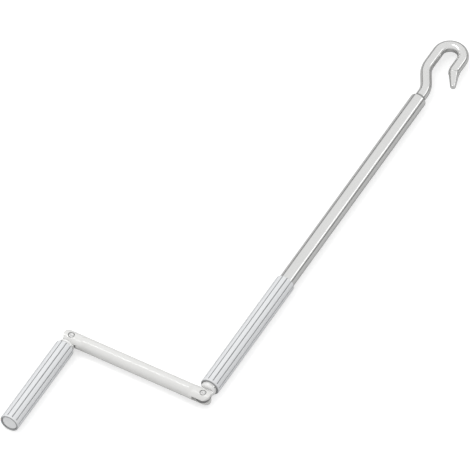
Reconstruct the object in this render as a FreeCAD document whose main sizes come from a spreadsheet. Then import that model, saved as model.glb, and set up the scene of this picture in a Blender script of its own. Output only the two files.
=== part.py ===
"""Folding winding crank with a hook: two hinges, two revolving grips, one hooked shaft.

The crank lies flat in the XY plane. The hinge between shaft and arm is pivot A, the hinge between
arm and handle is pivot B. The shaft runs from A along +X to the hook, the arm runs from A along +Y
to B, and the handle runs from B along -X. All hinge pins stand along Z. The origin is the centre
of the hook's loop, which lies on the shaft's axis.

Rod-like pieces are modelled in a rod frame: z runs along the rod away from its pivot, x runs along
the hinge pins and y lies in the plane of the crank.
"""
import FreeCAD, Part
import os
import Sketcher
from FreeCAD import Placement, Rotation, Vector

doc = FreeCAD.newDocument("folding_crank")

# ---------------------------------------------------------------- driving dimensions
SIZES = [
    ("tube_diameter", 18, "outside of the shaft tube and of the handle tube"),
    ("tube_wall", 1.5, "wall of both tubes"),
    ("tube_edge", 0.7, "rounding of the shaft tube's hook end"),
    ("shaft_length", 469, "pivot A to the hook end of the shaft tube"),
    ("arm_length", 161, "pivot A to pivot B"),
    ("arm_diameter", 16, "outside of the arm tube"),
    ("arm_wall", 1.5, "wall of the arm tube"),
    ("fork_spread", 0.7, "how far each side of a flattened tube end stands out, in the crank's plane"),
    ("fork_squash", 1.3, "how far each side of a flattened tube end is pressed in, along the hinge pin"),
    ("fork_run", 11.5, "pivot to the end of the flattened stretch"),
    ("fork_blend", 5, "stretch over which the arm turns from flattened to round"),
    ("fork_plug_length", 30, "pivot to the inner end of a fork plug"),
    ("slot_thickness", 5, "fork slot, along the hinge pin"),
    ("slot_room", 2.2, "round of the tongue to the bottom of the fork slot"),
    ("washer_inset", 0.5, "edge of the tongue to the edge of a hinge washer"),
    ("washer_thickness", 0.4, "hinge washer"),
    ("washer_play", 0.05, "gap between a hinge washer and the tongue"),
    ("rivet_diameter", 5, "hinge rivet shank"),
    ("rivet_play", 0.05, "radial play between rivet and tongue"),
    ("rivet_fit", 0.01, "radial room of the rivet in the fork"),
    ("rivet_upset", 0.5, "how far the rivet's upset ends stand out past its shank"),
    ("rivet_recess_room", 0.5, "upset end of the rivet to the wall of its spot-faced recess"),
    ("rivet_recess_depth", 1.1, "depth of that recess"),
    ("rivet_head_height", 0.9, "height of the upset end above the recess floor"),
    ("rivet_dimple_diameter", 2.2, "punch mark in the rivet's end"),
    ("rivet_dimple_depth", 0.5, "depth of the punch mark"),
    ("tongue_inset", 1.2, "side of the fork to the side of the tongue"),
    ("stop_gap", 0.3, "gap between the fork's side and the tongue's flange"),
    ("flange_step", 0.4, "outside of the tube to the edge of the tongue's flange"),
    ("flange_thickness", 3.2, "tongue flange, along the rod"),
    ("flange_chamfer", 1.4, "bevel of the flange's hinge side"),
    ("spigot_length", 32, "part of the tongue that sits in the tube"),
    ("spigot_fit", 0.03, "radial room of plugs and bushes in the tubes"),
    ("cross_pin_diameter", 4, "slotted spring pin through tube and tongue"),
    ("cross_pin_wall", 0.8, "wall of the spring pin"),
    ("cross_pin_slot", 0.9, "slot along the spring pin"),
    ("cross_pin_inset", 22, "tube's hinge end to the spring pin"),
    ("cross_pin_sink", 0.2, "how far the pin's ends lie below the tube"),
    ("cross_pin_fit", 0.01, "radial room of the spring pin"),
    ("grip_wall", 1.92, "wall of both grips"),
    ("grip_play", 0.08, "radial play of a grip on its tube"),
    ("grip_gap", 2.0, "tongue flange to the hinge end of a grip"),
    ("shaft_grip_length", 163.3, "grip on the shaft"),
    ("handle_grip_length", 118.3, "grip on the handle"),
    ("grip_edge", 1.1, "rounding of a grip's ends"),
    ("grip_rim", 2.2, "smooth rim that the grooves leave"),
    ("groove_count", 12, "grooves round a grip"),
    ("groove_width", 1.2, "grip groove, across"),
    ("groove_depth", 0.75, "grip groove, depth"),
    ("ring_wire", 1.2, "retaining ring, thickness along the rod"),
    ("ring_seat_depth", 0.6, "ring groove in the tube, depth"),
    ("ring_stand", 0.45, "how far the ring stands out of the tube"),
    ("ring_play", 0.25, "gap between the ring and the groove in the grip"),
    ("ring_fit", 0.05, "gap between the ring and its seat in the tube"),
    ("ring_inset", 12, "hinge end of a grip to its retaining ring"),
    ("ring_mouth", 5, "opening of the retaining ring"),
    ("cap_step", 0.4, "outside of the tube to the edge of the end plug's head"),
    ("cap_thickness", 1.4, "head of the handle's end plug"),
    ("cap_dish", 0.5, "hollow in the plug's head"),
    ("cap_sink", 0.9, "how far the plug's head lies below the grip's end"),
    ("cap_spigot_length", 14, "part of the end plug that sits in the tube"),
    ("bush_wall", 1.19, "wall of the bush between hook rod and tube"),
    ("rod_insertion", 42, "hook rod inside the tube"),
    ("rod_shank", 9.25, "hook rod from the tube's end to its first bend"),
    ("neck_angle", 30, "degrees that the hook's neck leaves the axis by"),
    ("neck_radius", 28, "both bends of the neck, on the rod's axis"),
    ("loop_radius", 14.3, "hook loop, on the rod's axis"),
    ("loop_lead", 20.3, "straight run from the neck to the loop"),
    ("loop_return", 14, "straight run after the loop"),
    ("tip_angle", 26, "degrees that the hook's tip splays out by"),
    ("tip_radius", 11, "bend before the tip, on the rod's axis"),
    ("tip_length", 20, "tapered tip"),
    ("tip_diameter", 6, "blunt end of the tip"),
    ("tip_edge", 0.6, "rounding of the blunt end"),
    ("bush_length", 40, "bush between hook rod and tube"),
    ("screw_diameter", 5, "grub screw that holds the hook rod"),
    ("screw_inset", 20, "tube's hook end to the grub screw"),
    ("screw_bite", 0.5, "depth of the screw's seat in the rod"),
    ("screw_sink", 0.4, "how far the screw lies below the tube"),
    ("screw_socket", 2.5, "hexagon socket, across flats"),
    ("screw_socket_depth", 1.4, "hexagon socket, depth"),
    ("screw_fit", 0.02, "radial room of the screw"),
]

sheet = doc.addObject("Spreadsheet::Sheet", "dim")
for row, (alias, number, meaning) in enumerate(SIZES, start=1):
    sheet.set(f"A{row}", alias)
    sheet.set(f"B{row}", str(number))
    sheet.set(f"C{row}", meaning)
    sheet.setAlias(f"B{row}", alias)
doc.recompute()

# ---------------------------------------------------------------- worked-out dimensions
TUBE_R = "(dim.tube_diameter / 2)"
TUBE_BORE_R = f"({TUBE_R} - dim.tube_wall)"
SPIGOT_R = f"({TUBE_BORE_R} - dim.spigot_fit)"
FLANGE_R = f"({TUBE_R} - dim.flange_step)"
FORK_NOSE_R = "(dim.arm_diameter / 2 + dim.fork_spread)"
FORK_HEIGHT = "(dim.arm_diameter - 2 * dim.fork_squash)"
FORK_HALF_HEIGHT = "(dim.arm_diameter / 2 - dim.fork_squash)"
TONGUE_R = f"({FORK_NOSE_R} - dim.tongue_inset)"
SLOT_DEPTH = f"({TONGUE_R} + dim.slot_room)"
FLANGE_START = f"({FORK_NOSE_R} + dim.stop_gap)"
TUBE_START = f"({FLANGE_START} + dim.flange_thickness)"
TONGUE_THICKNESS = "(dim.slot_thickness - 2 * dim.washer_thickness - 2 * dim.washer_play)"
GRIP_START = f"({TUBE_START} + dim.grip_gap)"
HANDLE_GRIP_END = f"({GRIP_START} + dim.handle_grip_length)"
HANDLE_TUBE_END = f"({HANDLE_GRIP_END} - dim.cap_sink - dim.cap_thickness)"
RING_CENTRE = f"({GRIP_START} + dim.ring_inset)"
RING_INNER_R = f"({TUBE_R} - dim.ring_seat_depth + dim.ring_fit)"
RING_OUTER_R = f"({TUBE_R} + dim.ring_stand)"
CROSS_PIN_CENTRE = f"({TUBE_START} + dim.cross_pin_inset)"
RIVET_R = "(dim.rivet_diameter / 2)"
RIVET_HEAD_R = f"({RIVET_R} + dim.rivet_upset)"
RECESS_R = f"({RIVET_HEAD_R} + dim.rivet_recess_room)"
RECESS_FLOOR = f"({FORK_HALF_HEIGHT} - dim.rivet_recess_depth)"
GRIP_BORE_R = f"({TUBE_R} + dim.grip_play)"
GRIP_R = f"({GRIP_BORE_R} + dim.grip_wall)"
BUSH_BORE_R = f"({SPIGOT_R} - dim.bush_wall)"
ROD_R = f"({BUSH_BORE_R} - dim.spigot_fit)"
SCREW_CENTRE = "(dim.shaft_length - dim.screw_inset)"
NECK_START = "(dim.shaft_length + dim.rod_shank)"
NECK_SLOPE = "(dim.loop_radius - 2 * dim.neck_radius * (1 - cos(dim.neck_angle))) / sin(dim.neck_angle)"
NECK_END = (
    f"({NECK_START} + 2 * dim.neck_radius * sin(dim.neck_angle) + {NECK_SLOPE} * cos(dim.neck_angle))"
)
LOOP_CENTRE = f"({NECK_END} + dim.loop_lead)"
TIP_START_X = f"({LOOP_CENTRE} - dim.loop_return - dim.tip_radius * sin(dim.tip_angle))"
TIP_START_Y = "(0 - dim.loop_radius - dim.tip_radius * (1 - cos(dim.tip_angle)))"

REACH_PAST = 5  # how far a cutting outline runs past the face it cuts

Z_AXIS = Vector(0, 0, 1)


def value(expression):
    """The present value of an expression on the sheet, as a plain number."""
    result = sheet.evalExpression(expression)
    return float(getattr(result, "Value", result))


# ---------------------------------------------------------------- places of the rods
PIVOT_A = Vector(-value(LOOP_CENTRE), 0, 0)
PIVOT_B = PIVOT_A + Vector(0, value("dim.arm_length"), 0)
ALONG_SHAFT = Rotation(Vector(0, 0, 1), Vector(0, -1, 0), Vector(1, 0, 0), "ZXY")
ALONG_ARM = Rotation(Vector(0, 0, 1), Vector(1, 0, 0), Vector(0, 1, 0), "ZXY")
ALONG_HANDLE = Rotation(Vector(0, 0, 1), Vector(0, 1, 0), Vector(-1, 0, 0), "ZXY")
SHAFT_FRAME = Placement(PIVOT_A, ALONG_SHAFT)
ARM_FRAME = Placement(PIVOT_A, ALONG_ARM)
HANDLE_FRAME = Placement(PIVOT_B, ALONG_HANDLE)

nodes = []


def keep(piece, label, placement):
    """Name a finished sub-part, put it in its place and list it for writing."""
    piece.Label = label
    piece.Placement = placement
    nodes.append(piece)
    return piece


# ---------------------------------------------------------------- sketch and feature helpers
def new_body(name):
    return doc.addObject("PartDesign::Body", name + "_body")


def origin_feature(body, role):
    return next(feature for feature in body.Origin.OriginFeatures if feature.Role == role)


def new_sketch(body, name, role, lift="0", turn=0):
    """A sketch on one of the body's own origin planes, lifted along the plane's normal."""
    sketch = body.newObject("Sketcher::SketchObject", name)
    sketch.AttachmentSupport = [(origin_feature(body, role), "")]
    sketch.MapMode = "FlatFace"
    sketch.AttachmentOffset = Placement(Vector(0, 0, value(lift)), Rotation(Z_AXIS, turn))
    sketch.setExpression("AttachmentOffset.Base.z", lift)
    return sketch


def constrain(sketch, kind, *where, size):
    """Add one dimension to a sketch and bind it to the sheet."""
    name = f"size{sketch.ConstraintCount}"
    index = sketch.addConstraint(Sketcher.Constraint(kind, *where, value(size)))
    sketch.renameConstraint(index, name)
    sketch.setExpression(f"Constraints.{name}", size)


def pin_point(sketch, geometry, point, x, y):
    constrain(sketch, "DistanceX", geometry, point, size=x)
    constrain(sketch, "DistanceY", geometry, point, size=y)


def add_circle(sketch, radius, x="0", y="0"):
    centre = Vector(value(x), value(y), 0)
    circle = sketch.addGeometry(Part.Circle(centre, Z_AXIS, value(radius)))
    constrain(sketch, "Radius", circle, size=radius)
    pin_point(sketch, circle, 3, x, y)


def add_polygon(sketch, corners):
    """A closed outline of straight lines through corners given as pairs of expressions."""
    points = [Vector(value(x), value(y), 0) for x, y in corners]
    ends = points[1:] + points[:1]
    lines = [sketch.addGeometry(Part.LineSegment(a, b)) for a, b in zip(points, ends)]
    for line, following in zip(lines, lines[1:] + lines[:1]):
        sketch.addConstraint(Sketcher.Constraint("Coincident", line, 2, following, 1))
    for line, (x, y) in zip(lines, corners):
        pin_point(sketch, line, 1, x, y)


def add_box(sketch, low, high):
    (x0, y0), (x1, y1) = low, high
    add_polygon(sketch, [(x0, y0), (x1, y0), (x1, y1), (x0, y1)])


def pad(body, sketch, length, midplane=False):
    feature = body.newObject("PartDesign::Pad", sketch.Name + "_pad")
    feature.Profile = sketch
    feature.setExpression("Length", length)
    feature.Midplane = midplane
    doc.recompute()
    return feature


def pocket(body, sketch, length=None, both_ways=False, against_normal=True):
    """Cut the sketch's outline out of the body, and make sure that something was cut."""
    before = body.Shape.Volume
    feature = body.newObject("PartDesign::Pocket", sketch.Name + "_pocket")
    feature.Profile = sketch
    if length is None:
        feature.Type = 1
    else:
        feature.setExpression("Length", length)
    feature.Midplane = both_ways
    feature.Reversed = not against_normal
    doc.recompute()
    if not body.Shape.Volume < before:
        raise RuntimeError(f"{feature.Name} cuts nothing")
    return feature


def cross_hole(body, name, radius, along):
    """A round hole right through the rod, parallel to the hinge pins."""
    sketch = new_sketch(body, name, "YZ_Plane")
    add_circle(sketch, radius, "0", along)
    return pocket(body, sketch, both_ways=True)


def turned(name, corners):
    """A body turned about z from a closed outline of (radius, z) corners."""
    body = new_body(name)
    sketch = new_sketch(body, name + "_outline", "XZ_Plane")
    add_polygon(sketch, corners)
    feature = body.newObject("PartDesign::Revolution", name + "_turning")
    feature.Profile = sketch
    feature.ReferenceAxis = (sketch, ["V_Axis"])
    feature.Angle = 360
    doc.recompute()
    return body


def round_edges(body, name, radius, wanted):
    """Round the circular edges that wanted(edge) picks."""
    doc.recompute()
    tip = body.Tip
    picked = [
        f"Edge{index}"
        for index, edge in enumerate(tip.Shape.Edges, start=1)
        if isinstance(edge.Curve, Part.Circle) and wanted(edge)
    ]
    if not picked:
        raise RuntimeError(f"{name} finds no edge")
    fillet = body.newObject("PartDesign::Fillet", name)
    fillet.Base = (tip, picked)
    fillet.setExpression("Radius", radius)
    doc.recompute()
    return fillet


def outer_edge_at(radius, height):
    """Picks the full circle of one radius at one height on the turning axis."""
    def picks(edge):
        same_radius = abs(edge.Curve.Radius - value(radius)) < 1e-4
        return same_radius and abs(edge.Curve.Center.z - value(height)) < 1e-4
    return picks


def primitive(kind, name, sizes, base=None, turn=None):
    """A Part primitive with every size and its base point bound to the sheet."""
    shape = doc.addObject("Part::" + kind, name)
    for prop, size in sizes.items():
        shape.setExpression(prop, size)
    if turn is not None:
        shape.Placement = Placement(Vector(), turn)
    for axis, position in zip("xyz", base or ()):
        shape.setExpression(f"Placement.Base.{axis}", position)
    return shape


def boolean(kind, name, first, second):
    result = doc.addObject("Part::" + kind, name)
    result.Base = first
    result.Tool = second
    doc.recompute()
    return result


def fused(name, shapes):
    result = doc.addObject("Part::MultiFuse", name)
    result.Shapes = shapes
    doc.recompute()
    return result


# ---------------------------------------------------------------- tubes, bush and end plug
def tube(label, start, end, placement):
    """A plain tube with the cross hole for its tongue's pin and the seat of its grip's ring."""
    body = turned(label, [
        (TUBE_BORE_R, start), (TUBE_R, start), (TUBE_R, end), (TUBE_BORE_R, end),
    ])
    cross_hole(body, label + "_pin_hole", "dim.cross_pin_diameter / 2 + dim.cross_pin_fit", CROSS_PIN_CENTRE)
    seat = new_sketch(body, label + "_ring_seat", "XZ_Plane")
    half_seat = "(dim.ring_wire / 2 + dim.ring_fit)"
    add_box(
        seat,
        (f"{TUBE_R} - dim.ring_seat_depth", f"{RING_CENTRE} - {half_seat}"),
        (f"{TUBE_R} + {REACH_PAST}", f"{RING_CENTRE} + {half_seat}"),
    )
    before = body.Shape.Volume
    groove = body.newObject("PartDesign::Groove", label + "_ring_groove")
    groove.Profile = seat
    groove.ReferenceAxis = (seat, ["V_Axis"])
    groove.Angle = 360
    doc.recompute()
    if not body.Shape.Volume < before:
        raise RuntimeError(f"{groove.Name} cuts nothing")
    return keep(body, label, placement)


def screw_hole(body, name, radius, reach):
    """A radial hole from the underside, for the grub screw, as far in as reach from the axis."""
    sketch = new_sketch(body, name, "YZ_Plane", lift=f"0 - {TUBE_R} - {REACH_PAST}")
    add_circle(sketch, radius, "0", SCREW_CENTRE)
    depth = f"{TUBE_R} + {REACH_PAST} - {reach}"
    return pocket(body, sketch, length=depth, against_normal=False)


SCREW_HOLE_R = "dim.screw_diameter / 2 + dim.screw_fit"

shaft_tube = tube("shaft_tube", TUBE_START, "dim.shaft_length", SHAFT_FRAME)
screw_hole(shaft_tube, "shaft_tube_screw_hole", SCREW_HOLE_R, "0")
round_edges(shaft_tube, "shaft_tube_edge", "dim.tube_edge", outer_edge_at(TUBE_R, "dim.shaft_length"))

handle_tube = tube("handle_tube", TUBE_START, HANDLE_TUBE_END, HANDLE_FRAME)

BUSH_START = "(dim.shaft_length - dim.bush_length)"
hook_bush = turned("hook_bush", [
    (BUSH_BORE_R, BUSH_START), (SPIGOT_R, BUSH_START),
    (SPIGOT_R, "dim.shaft_length"), (BUSH_BORE_R, "dim.shaft_length"),
])
screw_hole(hook_bush, "hook_bush_screw_hole", SCREW_HOLE_R, "0")
keep(hook_bush, "hook_bush", SHAFT_FRAME)

CAP_TOP = f"({HANDLE_TUBE_END} + dim.cap_thickness)"
CAP_R = f"({TUBE_R} - dim.cap_step)"
CAP_BOTTOM = f"({HANDLE_TUBE_END} - dim.cap_spigot_length)"
handle_end_plug = turned("handle_end_plug", [
    ("0", CAP_BOTTOM), (SPIGOT_R, CAP_BOTTOM), (SPIGOT_R, HANDLE_TUBE_END), (CAP_R, HANDLE_TUBE_END),
    (CAP_R, f"{CAP_TOP} - dim.cap_dish"), (f"{CAP_R} - dim.cap_dish", CAP_TOP),
    (f"{CAP_R} - 3 * dim.cap_dish", CAP_TOP), ("0", f"{CAP_TOP} - dim.cap_dish"),
])
keep(handle_end_plug, "handle_end_plug", HANDLE_FRAME)


# ---------------------------------------------------------------- hinge tongues and their pins
def tongue(label, placement):
    """Flat hinge tongue, bevelled flange that closes the tube, and spigot inside the tube."""
    spigot_end = f"({TUBE_START} + dim.spigot_length)"
    body = turned(label, [
        ("0", FLANGE_START), (f"{FLANGE_R} - dim.flange_chamfer", FLANGE_START),
        (FLANGE_R, f"{FLANGE_START} + dim.flange_chamfer"),
        (FLANGE_R, TUBE_START), (SPIGOT_R, TUBE_START),
        (SPIGOT_R, spigot_end), ("0", spigot_end),
    ])
    heel = new_sketch(body, label + "_heel", "YZ_Plane")
    add_circle(heel, TONGUE_R)
    pad(body, heel, TONGUE_THICKNESS, midplane=True)
    blade = new_sketch(body, label + "_blade", "YZ_Plane")
    add_box(blade, (f"0 - {TONGUE_R}", "0"), (TONGUE_R, f"{FLANGE_START} + dim.flange_chamfer"))
    pad(body, blade, TONGUE_THICKNESS, midplane=True)
    cross_hole(body, label + "_pivot_bore", f"{RIVET_R} + dim.rivet_play", "0")
    cross_hole(body, label + "_pin_hole", "dim.cross_pin_diameter / 2 + dim.cross_pin_fit", CROSS_PIN_CENTRE)
    return keep(body, label, placement)


def cross_pin(label, centre):
    """Slotted spring pin that ties a tongue to its tube, hidden under the grip."""
    body = new_body(label)
    ring = new_sketch(body, label + "_ring", "XY_Plane")
    add_circle(ring, "dim.cross_pin_diameter / 2")
    add_circle(ring, "dim.cross_pin_diameter / 2 - dim.cross_pin_wall")
    pad(body, ring, "dim.tube_diameter - 2 * dim.cross_pin_sink", midplane=True)
    slot = new_sketch(body, label + "_slot", "XY_Plane")
    half = "dim.cross_pin_slot / 2"
    add_box(slot, ("0", f"0 - {half}"), (f"dim.cross_pin_diameter / 2 + {REACH_PAST}", half))
    pocket(body, slot, both_ways=True)
    return keep(body, label, Placement(centre, Rotation()))


tongue("shaft_tongue", SHAFT_FRAME)
cross_pin("shaft_tongue_pin", PIVOT_A + Vector(value(CROSS_PIN_CENTRE), 0, 0))
tongue("handle_tongue", HANDLE_FRAME)
cross_pin("handle_tongue_pin", PIVOT_B - Vector(value(CROSS_PIN_CENTRE), 0, 0))


# ---------------------------------------------------------------- grips and their retaining rings
def grip(label, length, ring_from_rim, placement):
    """Grooved sleeve: z = 0 is the end with the smooth rim, the grooves run out at the other."""
    relief_r = f"({RING_OUTER_R} + dim.ring_play)"
    relief = "(dim.ring_wire / 2 + dim.ring_play)"
    body = turned(label, [
        (GRIP_BORE_R, "0"), (GRIP_R, "0"), (GRIP_R, length), (GRIP_BORE_R, length),
        (GRIP_BORE_R, f"{ring_from_rim} + {relief}"), (relief_r, f"{ring_from_rim} + {relief}"),
        (relief_r, f"{ring_from_rim} - {relief}"), (GRIP_BORE_R, f"{ring_from_rim} - {relief}"),
    ])
    ends = [outer_edge_at(GRIP_R, "0"), outer_edge_at(GRIP_R, length)]
    round_edges(body, label + "_ends", "dim.grip_edge", lambda edge: any(end(edge) for end in ends))

    half_pitch = 180 / value("dim.groove_count")
    channel = new_sketch(body, label + "_channel", "XY_Plane", lift=length, turn=half_pitch)
    half = "dim.groove_width / 2"
    add_box(channel, (f"{GRIP_R} - dim.groove_depth", f"0 - {half}"), (f"{GRIP_R} + {REACH_PAST}", half))
    first = pocket(body, channel, length=f"{length} - dim.grip_rim")
    single = body.Shape.Volume
    pattern = body.newObject("PartDesign::PolarPattern", label + "_grooves")
    pattern.Originals = [first]
    pattern.Axis = (origin_feature(body, "Z_Axis"), [""])
    pattern.Angle = 360
    pattern.setExpression("Occurrences", "dim.groove_count")
    body.Tip = pattern
    doc.recompute()
    if not body.Shape.Volume < single:
        raise RuntimeError(f"{pattern.Name} adds no groove")
    return keep(body, label, placement)


def retaining_ring(label, placement):
    """Open wire ring that sits in the tube's groove and runs in the grip's groove."""
    half = "dim.ring_wire / 2"
    body = turned(label, [
        (RING_INNER_R, f"{RING_CENTRE} - {half}"), (RING_OUTER_R, f"{RING_CENTRE} - {half}"),
        (RING_OUTER_R, f"{RING_CENTRE} + {half}"), (RING_INNER_R, f"{RING_CENTRE} + {half}"),
    ])
    mouth = new_sketch(body, label + "_mouth", "XY_Plane", lift=RING_CENTRE)
    half_mouth = "dim.ring_mouth / 2"
    add_box(mouth, ("0", f"0 - {half_mouth}"), (f"{RING_OUTER_R} + {REACH_PAST}", half_mouth))
    pocket(body, mouth, both_ways=True)
    return keep(body, label, placement)


grip(
    "shaft_grip", "dim.shaft_grip_length", "dim.ring_inset",
    Placement(PIVOT_A + Vector(value(GRIP_START), 0, 0), ALONG_SHAFT),
)
retaining_ring("shaft_grip_ring", SHAFT_FRAME)
grip(
    "handle_grip", "dim.handle_grip_length", "dim.handle_grip_length - dim.ring_inset",
    Placement(PIVOT_B - Vector(value(HANDLE_GRIP_END), 0, 0), ALONG_SHAFT),
)
retaining_ring("handle_grip_ring", HANDLE_FRAME)


# ---------------------------------------------------------------- arm with its forked ends
def arm_solid(name, inset):
    """The arm's outside, or with the wall as inset its inside: round, flattened at both ends."""
    round_r = f"dim.arm_diameter / 2 - {inset}"
    flat_x = f"{FORK_HALF_HEIGHT} - {inset}"
    flat_y = f"{FORK_NOSE_R} - {inset}"
    blend_end = "(dim.fork_run + dim.fork_blend)"
    past = f"({FORK_NOSE_R} + {REACH_PAST})"
    quarter_turn = Rotation(Z_AXIS, 90)

    def oval(suffix, height):
        return primitive(
            "Ellipse", name + suffix, {"MajorRadius": flat_y, "MinorRadius": flat_x},
            ("0", "0", height), quarter_turn,
        )

    end_oval = oval("_nose_oval", f"0 - {past}")
    flattened = doc.addObject("Part::Extrusion", name + "_flattened")
    flattened.Base = end_oval
    flattened.DirMode = "Custom"
    flattened.Dir = Z_AXIS
    flattened.Solid = True
    flattened.setExpression("LengthFwd", f"{past} + dim.fork_run")
    circle = primitive(
        "Circle", name + "_circle", {"Radius": round_r}, ("0", "0", blend_end), quarter_turn,
    )
    blend = doc.addObject("Part::Loft", name + "_blend")
    blend.Sections = [oval("_blend_oval", "dim.fork_run"), circle]
    blend.Solid = True
    middle = primitive(
        "Cylinder", name + "_middle",
        {"Radius": round_r, "Height": f"dim.arm_length / 2 - {blend_end}"}, ("0", "0", blend_end),
    )
    near_half = fused(name + "_near_half", [flattened, blend, middle])
    far_half = doc.addObject("Part::Mirroring", name + "_far_half")
    far_half.Source = near_half
    far_half.Normal = Z_AXIS
    far_half.setExpression("Base.z", "dim.arm_length / 2")
    return fused(name, [near_half, far_half])


def round_nosed_plan():
    """The arm's outline seen along the hinge pins: straight sides and a full round at each pivot."""
    tall = f"4 * {FORK_HEIGHT}"
    along_pins = Rotation(Vector(0, 1, 0), 90)
    box = primitive(
        "Box", "plan_box",
        {"Length": tall, "Width": f"2 * {FORK_NOSE_R}", "Height": "dim.arm_length"},
        (f"0 - 2 * {FORK_HEIGHT}", f"0 - {FORK_NOSE_R}", "0"),
    )
    noses = [
        primitive(
            "Cylinder", f"plan_nose_{end}", {"Radius": FORK_NOSE_R, "Height": tall},
            (f"0 - 2 * {FORK_HEIGHT}", "0", height), along_pins,
        )
        for end, height in (("a", "0"), ("b", "dim.arm_length"))
    ]
    return fused("plan", [box] + noses)


def hinge_cuts():
    """Slots, rivet bores and rivet recesses at both ends of the arm."""
    along_pins = Rotation(Vector(0, 1, 0), 90)
    slot_length = f"{SLOT_DEPTH} + {FORK_NOSE_R} + {REACH_PAST}"
    cuts = []
    for end, pivot, slot_start in (
        ("a", "0", f"0 - {FORK_NOSE_R} - {REACH_PAST}"),
        ("b", "dim.arm_length", f"dim.arm_length - {SLOT_DEPTH}"),
    ):
        cuts.append(primitive(
            "Box", f"slot_{end}",
            {"Length": "dim.slot_thickness", "Width": f"4 * {FORK_NOSE_R}", "Height": slot_length},
            ("0 - dim.slot_thickness / 2", f"0 - 2 * {FORK_NOSE_R}", slot_start),
        ))
        cuts.append(primitive(
            "Cylinder", f"rivet_bore_{end}",
            {"Radius": f"{RIVET_R} + dim.rivet_fit", "Height": f"4 * {FORK_HEIGHT}"},
            (f"0 - 2 * {FORK_HEIGHT}", "0", pivot), along_pins,
        ))
        for side, floor in (("top", RECESS_FLOOR), ("bottom", f"0 - {RECESS_FLOOR} - {FORK_HEIGHT}")):
            cuts.append(primitive(
                "Cylinder", f"rivet_recess_{end}_{side}",
                {"Radius": RECESS_R, "Height": FORK_HEIGHT},
                (floor, "0", pivot), along_pins,
            ))
    return fused("hinge_cuts", cuts)


arm_outside = boolean("Common", "arm_outside_nosed", arm_solid("arm_outside", "0"), round_nosed_plan())
arm_inside = boolean("Common", "arm_inside_nosed", arm_solid("arm_inside", "dim.arm_wall"), doc.plan)
cuts = hinge_cuts()

arm_skin = boolean("Cut", "arm_skin", arm_outside, arm_inside)
keep(boolean("Cut", "arm_tube_cut", arm_skin, cuts), "arm_tube", ARM_FRAME)

for label, start in (
    ("shaft_fork_plug", f"0 - {FORK_NOSE_R} - {REACH_PAST}"),
    ("handle_fork_plug", "dim.arm_length - dim.fork_plug_length"),
):
    reach = primitive(
        "Box", label + "_reach",
        {
            "Length": f"2 * {FORK_HEIGHT}", "Width": f"4 * {FORK_NOSE_R}",
            "Height": f"{FORK_NOSE_R} + {REACH_PAST} + dim.fork_plug_length",
        },
        (f"0 - {FORK_HEIGHT}", f"0 - 2 * {FORK_NOSE_R}", start),
    )
    filling = boolean("Common", label + "_filling", arm_inside, reach)
    keep(boolean("Cut", label + "_cut", filling, cuts), label, ARM_FRAME)


# ---------------------------------------------------------------- hinge rivets and washers
def rivet(label, centre):
    """Solid hinge rivet, upset at both ends, with a punch mark in its top."""
    top = f"({RECESS_FLOOR} + dim.rivet_head_height)"
    bevel = "dim.rivet_head_height / 3"
    body = turned(label, [
        ("0", f"0 - {top}"), (f"{RIVET_HEAD_R} - {bevel}", f"0 - {top}"),
        (RIVET_HEAD_R, f"0 - {top} + {bevel}"), (RIVET_HEAD_R, f"0 - {RECESS_FLOOR}"),
        (RIVET_R, f"0 - {RECESS_FLOOR}"), (RIVET_R, RECESS_FLOOR), (RIVET_HEAD_R, RECESS_FLOOR),
        (RIVET_HEAD_R, f"{top} - {bevel}"), (f"{RIVET_HEAD_R} - {bevel}", top),
        ("dim.rivet_dimple_diameter / 2", top), ("0", f"{top} - dim.rivet_dimple_depth"),
    ])
    return keep(body, label, Placement(centre, Rotation()))


def washer(label, centre, floor):
    """Thin friction washer between the fork's cheek and the tongue."""
    inner_r = f"{RIVET_R} + dim.rivet_play"
    outer_r = f"{TONGUE_R} - dim.washer_inset"
    top = f"{floor} + dim.washer_thickness"
    body = turned(label, [(inner_r, floor), (outer_r, floor), (outer_r, top), (inner_r, top)])
    return keep(body, label, Placement(centre, Rotation()))


for hinge, centre in (("shaft", PIVOT_A), ("handle", PIVOT_B)):
    rivet(f"{hinge}_hinge_rivet", centre)
    washer(f"{hinge}_hinge_washer_top", centre, "dim.slot_thickness / 2 - dim.washer_thickness")
    washer(f"{hinge}_hinge_washer_bottom", centre, "0 - dim.slot_thickness / 2")


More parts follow.
